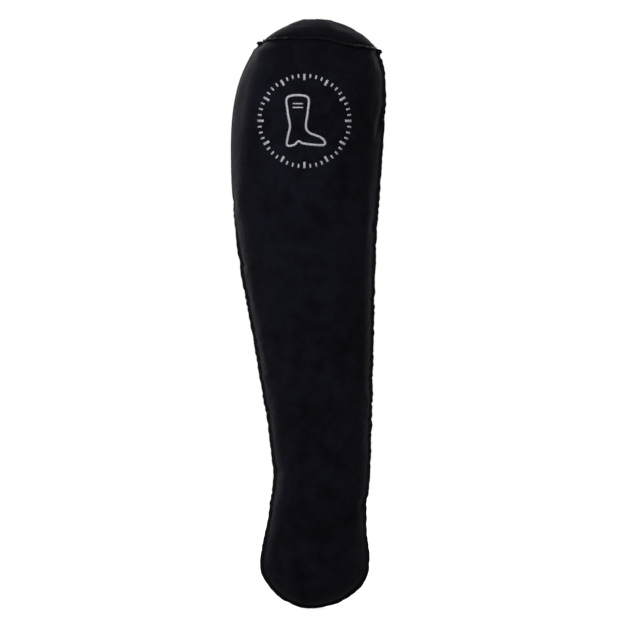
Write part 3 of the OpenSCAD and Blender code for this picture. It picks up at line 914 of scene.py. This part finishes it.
def finer(values, run, at):
    """Values given at the distances run along a line, smoothly read at the distances at."""
    slope = np.gradient(values, run, axis=0)
    i = np.clip(np.searchsorted(run, at) - 1, 0, len(run) - 2)
    span = (run[i + 1] - run[i])[:, None]
    return between(values, slope, i, span, (at - run[i])[:, None] / span)


def smoothed(values, times):
    for _ in range(times):
        values = np.concatenate(
            [values[:1], (values[:-2] + 2 * values[1:-1] + values[2:]) / 4, values[-1:]]
        )
    return values


def sway(run, pitch, phase=0.0):
    return np.sin(2 * math.pi * run / pitch + phase)


def from_ends(run, reach):
    """Rises from 0 at both ends of a line to 1 at this distance from them."""
    return ramp(np.minimum(run, run[-1] - run) / reach)


def ear(run, reach):
    """Rises to 1 at the corner of the mouth over this distance."""
    return ramp(1.5 * (1 - (run[-1] - run) / reach))


def margin_strip(name, root, face_a, face_b, width, wave, heading, thick):
    """A welded margin along the line root. face_a and face_b are points of the two sheets a
    little way in from it. width, wave and heading give its width, its swing and the way
    that it stands out of the weld.
    """
    run = run_of(root)
    n = int(round(run[-1] / MARGIN_STEP)) + 1
    at = np.linspace(0, run[-1], n)
    line, near_a, near_b = (finer(p, run, at) for p in (root, face_a, face_b))
    run = run_of(line)
    way = unit(np.gradient(line, axis=0))
    in_a, in_b = unit(near_a - line), unit(near_b - line)
    out = unit(heading(unit(smoothed(way, 12)), line, run))
    up = unit(np.cross(way, out))
    if ((in_a * up).sum(1)).mean() < 0:
        up = -up
    w = width(line, run)[:, None]
    tilt = wave(line, run)[:, None]
    t = thick / 2

    def half_ring(inside, s):
        return [
            line + inside * ROOT_END + s * up * 0.0001,
            line + inside * ROOT_BEND + s * up * t * 0.75,
            line + out * w * 0.22 + up * (s * t + tilt * 0.15),
            line + out * w * 0.6 + up * (s * t + tilt * 0.55),
            line + out * (w - EDGE_ROUND) + up * (s * t * 0.9 + tilt),
            line + out * w + up * (s * t * 0.45 + tilt),
        ]

    ring = half_ring(in_a, 1) + half_ring(in_b, -1)[::-1]
    m = len(ring)
    points = np.stack(ring, 1)
    index = np.arange(n * m).reshape(n, m)
    closed = np.concatenate([index, index[:, :1]], 1)
    faces = [tuple(f) for f in quads(closed, False)]
    faces += [tuple(index[0]), tuple(index[-1][::-1])]
    obj = mesh_object(name, points.reshape(-1, 3), faces)
    bm = bmesh.new()
    bm.from_mesh(obj.data)
    bmesh.ops.recalc_face_normals(bm, faces=bm.faces)
    bm.to_mesh(obj.data)
    bm.free()
    return obj


class BOOTSHAPER_OT_margins(bpy.types.Operator):
    """Builds the four welded margins and their ears at the corners"""

    bl_idname = "boot_shaper.margins"
    bl_label = "Welded Margins"

    def execute(self, context):
        if "points" not in made:
            raise RuntimeError("the margins need the chamber first")
        leg = context.scene.boot_shaper_leg
        sheets = context.scene.boot_shaper_sheets
        points, front, rear, top = (made[k] for k in ("points", "front", "rear", "top"))
        half = front.shape[1] // 2
        # From a little past the tip of the heel end to a corner of the mouth
        left = np.concatenate([front[0, half + 2 :: -1], front[1:, 0]])
        right = np.concatenate([front[0, half - 2 :], front[1:, -1]])
        random = np.random.default_rng(11)

        def inward(grid, side):
            """A sheet's points two cells in from the side weld, in the weld's own order."""
            cols = grid.shape[1]
            col = 2 if side < 0 else cols - 3
            low = np.arange(half + 2, -1, -1) if side < 0 else np.arange(half - 2, cols)
            low = grid[2, np.clip(low, 2, cols - 3)]
            high = grid[np.maximum(np.arange(1, len(grid)), 2), col]
            return points[np.concatenate([low, high])]

        for name, line, side, ear_way, node in (
            ("calf_side_margin", left, -1, (-1, 0, -0.05), "calf_side_weld"),
            ("shin_side_margin", right, 1, (0.96, 0, -0.28), "shin_side_weld"),
        ):
            phase = random.random(4) * 2 * math.pi

            def width(line, run, phase=phase):
                nick = sway(run, 0.0083, phase[0]) * sway(run, 0.031, phase[1])
                scallop = sway(run, 0.021, phase[2] + 1.5 * np.sin(run / 0.02))
                # The margin is trimmed narrow just below the ear.
                waist = np.exp(-(((run[-1] - run - WAIST) / WAIST_WIDTH) ** 2))
                share = 1 + 0.05 * nick + 0.06 * scallop - 0.4 * waist
                return sheets.margin * share + sheets.ear * ear(run, EAR_GROWTH)

            def wave(line, run, phase=phase):
                fine = sway(run, 0.0066, phase[2] + 2.2 * sway(run, 0.037))
                slow = 0.5 + 0.5 * sway(run, 0.083, phase[3])
                return 0.00022 * fine * (0.4 + slow)

            def heading(way, line, run, side=side, ear_way=np.array(ear_way)):
                out = unit(-side * np.cross(way, [0, 1, 0]))
                turn = folded(leg, line[:, 2:], side)
                out = out * np.cos(turn) + np.array([0, 1, 0]) * np.sin(turn)
                return out + (ear_way - out) * ear(run, EAR_TURN)[:, None]

            sides = inward(front, side), inward(rear, side)
            obj = margin_strip(
                name, points[line], *sides, width, wave, heading, sheets.margin_t
            )
            dress(obj, "chamber", MARGIN, (node,))
        cols = front.shape[1] - 1
        front_above = top[2, : cols + 1]
        rear_above = top[2][np.r_[0, -1:-cols:-1, cols]]
        for name, sheet, above, side, node in (
            ("front_top_margin", front, front_above, -1, "front_top_weld"),
            ("rear_top_margin", rear, rear_above, 1, "rear_top_weld"),
        ):
            phase = random.random(4) * 2 * math.pi

            def width(line, run, phase=phase):
                nick = sway(run, 0.0071, phase[0])
                ends = 0.35 + 0.65 * from_ends(run, 0.008)
                return sheets.margin * (0.85 + 0.08 * nick) * ends

            def wave(line, run, phase=phase):
                # The sheets are gathered more towards the calf side.
                gathered = ramp(1.25 - run / run[-1] * 1.6)
                fine = sway(run, 0.0078, phase[2] + 1.8 * sway(run, 0.033, phase[3]))
                gap = line[:, 0] - sheets.fold_x
                fold = FOLD_DEPTH * np.exp(-((gap / FOLD_WIDTH) ** 2))
                swing = 0.00055 * fine * (0.15 + gathered) - fold
                return swing * from_ends(run, 0.006)

            def heading(way, line, run, side=side):
                swing = math.pi * (run / run[-1] - 0.5)
                level = [np.sin(swing), side * np.cos(swing), np.zeros(len(run))]
                level = np.stack(level, -1) * math.cos(sheets.tilt)
                return level + np.array([0, 0, math.sin(sheets.tilt)])

            lines = points[sheet[-1]], points[above], points[sheet[-3]]
            obj = margin_strip(name, *lines, width, wave, heading, sheets.top_margin_t)
            dress(obj, "chamber", MARGIN, (node,))
        return {"FINISHED"}


# The print


def strip_2d(path, width, closed=False):
    """A printed line of even width along a flat path, as points and quads."""
    path = np.array(path, float)
    if closed:
        ahead, behind = np.roll(path, -1, 0), np.roll(path, 1, 0)
    else:
        ahead = np.concatenate([path[1:], path[-1:]])
        behind = np.concatenate([path[:1], path[:-1]])
    way = unit(ahead - behind)
    side = np.stack([-way[:, 1], way[:, 0]], -1) * width / 2
    points = np.concatenate([path - side, path + side])
    n = len(path)
    count = n if closed else n - 1
    faces = [(i, (i + 1) % n, n + (i + 1) % n, n + i) for i in range(count)]
    return points, faces


def smooth_path(corners, per=8):
    """A smooth closed path through the corners."""
    c = np.array(corners, float)
    out = []
    for i in range(len(c)):
        p0, p1, p2, p3 = (c[(i + k) % len(c)] for k in (-1, 0, 1, 2))
        for j in range(per):
            t = j / per
            out.append(
                0.5
                * (
                    2 * p1
                    + (p2 - p0) * t
                    + (2 * p0 - 5 * p1 + 4 * p2 - p3) * t**2
                    + (3 * p1 - p0 - 3 * p2 + p3) * t**3
                )
            )
    return out


TICKS = 48
# Room between the lines on the boot's shaft and its outline
LINE_GAP = 0.0035
# A plain boot in outline, from the top of its shaft round by the toe, in shares of its
# height
BOOT = (
    *((-0.24, 0.5), (0.16, 0.5), (0.17, 0.2), (0.13, -0.1), (0.2, -0.24)),
    *((0.42, -0.33), (0.52, -0.42), (0.48, -0.5), (0.1, -0.47), (-0.02, -0.42)),
    *((-0.12, -0.5), (-0.26, -0.5), (-0.24, -0.3), (-0.2, -0.1), (-0.25, 0.2)),
)


class BOOTSHAPER_OT_badge(bpy.types.Operator):
    """Prints the ring of ticks and the boot on the front sheet"""

    bl_idname = "boot_shaper.badge"
    bl_label = "Printed Badge"

    def execute(self, context):
        if "points" not in made:
            raise RuntimeError("the badge needs the chamber first")
        badge = context.scene.boot_shaper_badge
        parts = []
        for i in range(TICKS):
            turn = 2 * math.pi * i / TICKS
            way = np.array([math.sin(turn), math.cos(turn)])
            # Every fourth tick is long and bold.
            share, bold = (0.6, 0.8) if i % 4 else (1.0, 1.1)
            ends = badge.radius - badge.tick * share, badge.radius
            path = [way * r for r in np.linspace(*ends, 4)]
            parts.append(strip_2d(path, badge.line * bold))
        size = badge.radius * 1.02
        boot = np.array(smooth_path(BOOT)) * size + [-0.1 * size, 0]
        parts.append(strip_2d(boot, badge.line, closed=True))
        # Two lines across the top of the shaft, short of its sides
        for height in (0.36, 0.28):
            row = np.linspace(-0.34 * size + LINE_GAP, 0.07 * size - LINE_GAP, 8)
            path = [(x, height * size) for x in row]
            parts.append(strip_2d(path, badge.line * 0.6))
        points, front = made["points"], made["front"]
        skin = BVHTree.FromPolygons(
            [tuple(p) for p in points], [tuple(f) for f in quads(front, False)]
        )
        verts, faces = [], []
        for flat, cells in parts:
            start = len(verts)
            for x, z in flat:
                origin = Vector((badge.x + x, -0.2, badge.z + z))
                spot, normal, _, _ = skin.ray_cast(origin, Vector((0, 1, 0)))
                if spot is None:
                    raise RuntimeError("the badge runs off the front sheet")
                verts.append(spot + normal * badge.ink)
            faces += [tuple(start + i for i in cell) for cell in cells]
        obj = mesh_object("badge_print", verts, faces)
        bm = bmesh.new()
        bm.from_mesh(obj.data)
        for face in bm.faces:
            if face.normal.y > 0:
                face.normal_flip()
        bm.to_mesh(obj.data)
        bm.free()
        thicken(obj, badge.ink * 1.5)
        dress(obj, "chamber", INK)
        return {"FINISHED"}


# The valve


class BOOTSHAPER_OT_valve(bpy.types.Operator):
    """Finishes the valve's moulded pieces and makes its two flexible ones"""

    bl_idname = "boot_shaper.valve"
    bl_label = "Valve"

    def execute(self, context):
        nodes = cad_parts
        for name in ("valve_ring", "valve_stem", "check_flap", "stopper"):
            nodes[name].data.materials.clear()
            nodes[name].data.materials.append(finished(*VALVE))
        for name, node, a, b in (
            ("bellows_wall", "valve_bellows", "chamber", "stem"),
            ("stopper_tether", "stopper_strap", "stem", "plug"),
        ):
            mesh = nodes[node].data.copy()
            obj = bpy.data.objects.new(name, mesh)
            context.scene.collection.objects.link(obj)
            obj.data.materials.clear()
            obj.data.materials.append(finished(*VALVE))
            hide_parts(node)
            if a == "chamber":
                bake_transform(obj)
            else:
                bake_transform(obj)
        return {"FINISHED"}


# The stage


def background_rays(tree):
    """1 for the rays that see the background: the camera's, and those that metal and
    glass send on.
    """
    rays = put(tree, "LightPath").outputs
    sent_on = {0: rays["Is Glossy Ray"], 1: rays["Is Transmission Ray"]}
    sent_on = put(tree, "Math", sent_on, operation="MAXIMUM").outputs[0]
    either = {0: rays["Is Camera Ray"], 1: sent_on}
    return put(tree, "Math", either, operation="MAXIMUM").outputs[0]


class BOOTSHAPER_OT_stage(bpy.types.Operator):
    """Sets the camera, the floor and the lights"""

    bl_idname = "boot_shaper.stage"
    bl_label = "Stage"

    def execute(self, context):
        scene = context.scene
        finish = scene.boot_shaper_finishes
        scene.view_settings.view_transform = "Standard"

        def aim(obj, place, target):
            obj.location = place
            way = Vector(target) - Vector(place)
            obj.rotation_euler = way.to_track_quat("-Z", "Y").to_euler()
            scene.collection.objects.link(obj)

        # A long lens, level with the top of the leg and looking slightly down
        seen = Vector((0.00445, 0, 0.22515))
        far, down = 3.5, math.radians(3)
        data = bpy.data.cameras.new("camera")
        data.sensor_width = 36
        data.lens = 36 * far / 0.481
        data.clip_end = 100
        camera = bpy.data.objects.new("camera", data)
        back = Vector((0, -math.cos(down), math.sin(down)))
        aim(camera, seen + back * far, seen)
        scene.camera = camera
        # Softboxes: a large one in front and to the left, a tall one behind the left
        # edge, and a weaker one behind the right edge
        for name, place, across, tall, power, target in (
            ("key_softbox", (-0.2, -0.75, 0.72), 0.45, 0.45, 5.5, (0, 0, 0.38)),
            ("left_rim_softbox", (-0.46, 0.6, 0.58), 0.2, 0.4, 9.0, (0, 0, 0.34)),
            ("right_rim_softbox", (0.44, 0.62, 0.68), 0.2, 0.4, 4.2, (0, 0, 0.42)),
        ):
            light = bpy.data.lights.new(name, "AREA")
            light.shape = "RECTANGLE"
            light.size, light.size_y = across, tall
            light.energy = power
            aim(bpy.data.objects.new(name, light), place, target)
        world = bpy.data.worlds.new("white_studio")
        world.use_nodes = True
        tree = world.node_tree
        tree.nodes.clear()
        # White to look at, and a fifth of that as light on the object
        levels = {"Value": background_rays(tree), "To Min": 0.2, "To Max": 1.0}
        strength = put(tree, "MapRange", levels).outputs[0]
        sky = put(tree, "Background", {"Color": (1, 1, 1, 1), "Strength": strength})
        put(tree, "OutputWorld", {"Surface": sky.outputs[0]})
        scene.world = world
        floor = mesh_object(
            "floor",
            [(-6, -6, 0), (6, -6, 0), (6, 6, 0), (-6, 6, 0)],
            [(0, 1, 2, 3)],
            smooth=False,
        )
        # Matt paper that glows white to the eye, so that only the soft shadow shows.
        material, tree, where = new_material("matt_paper")
        fleck = put(tree, "TexNoise", blobs(where, 0.004, 2, 0.5)).outputs["Fac"]
        darker, paler = rgba([v * 0.98 for v in finish.floor]), rgba(finish.floor)
        tones = {"Factor": fleck, "A": darker, "B": paler}
        tone = put(tree, "Mix", tones, data_type="RGBA").outputs["Result"]
        paper = put(tree, "BsdfPrincipled", {"Base Color": tone, "Roughness": 0.95})
        seen = background_rays(tree)
        lit = put(tree, "Math", {0: seen, 1: 0.85}, operation="MULTIPLY").outputs[0]
        glow = put(tree, "Emission", {"Color": (1, 1, 1, 1), "Strength": lit})
        both = put(tree, "AddShader", {0: paper.outputs[0], 1: glow.outputs[0]})
        put(tree, "OutputMaterial", {"Surface": both.outputs[0]})
        floor.data.materials.append(material)
        return {"FINISHED"}


OPERATORS = (
    BOOTSHAPER_OT_stage,
    BOOTSHAPER_OT_chamber,
    BOOTSHAPER_OT_margins,
    BOOTSHAPER_OT_badge,
    BOOTSHAPER_OT_valve,
)
GROUPS = {
    "boot_shaper_leg": LegSizes,
    "boot_shaper_sheets": SheetSizes,
    "boot_shaper_valve": ValveSizes,
    "boot_shaper_badge": BadgeSizes,
    "boot_shaper_finishes": Finishes,
}


class BOOTSHAPER_PT_panel(bpy.types.Panel):
    bl_idname = "BOOTSHAPER_PT_panel"
    bl_label = "Boot Shaper"
    bl_space_type = "VIEW_3D"
    bl_region_type = "UI"
    bl_category = "Boot Shaper"

    def draw(self, context):
        layout = self.layout
        for name, group in GROUPS.items():
            box = layout.box()
            box.label(text=group.__name__)
            settings = getattr(context.scene, name)
            for prop in group.__annotations__:
                box.prop(settings, prop)
        for operator in OPERATORS:
            layout.operator(operator.bl_idname)


def register():
    for cls in (*GROUPS.values(), *OPERATORS, BOOTSHAPER_PT_panel):
        bpy.utils.register_class(cls)
    for name, group in GROUPS.items():
        setattr(bpy.types.Scene, name, PointerProperty(type=group))


def unregister():
    for name in GROUPS:
        delattr(bpy.types.Scene, name)
    for cls in (BOOTSHAPER_PT_panel, *OPERATORS, *GROUPS.values()):
        bpy.utils.unregister_class(cls)


def main():
    register()
    for operator in OPERATORS:
        group, name = operator.bl_idname.split(".")
        getattr(getattr(bpy.ops, group), name)()


if __name__ == "__main__":
    main()
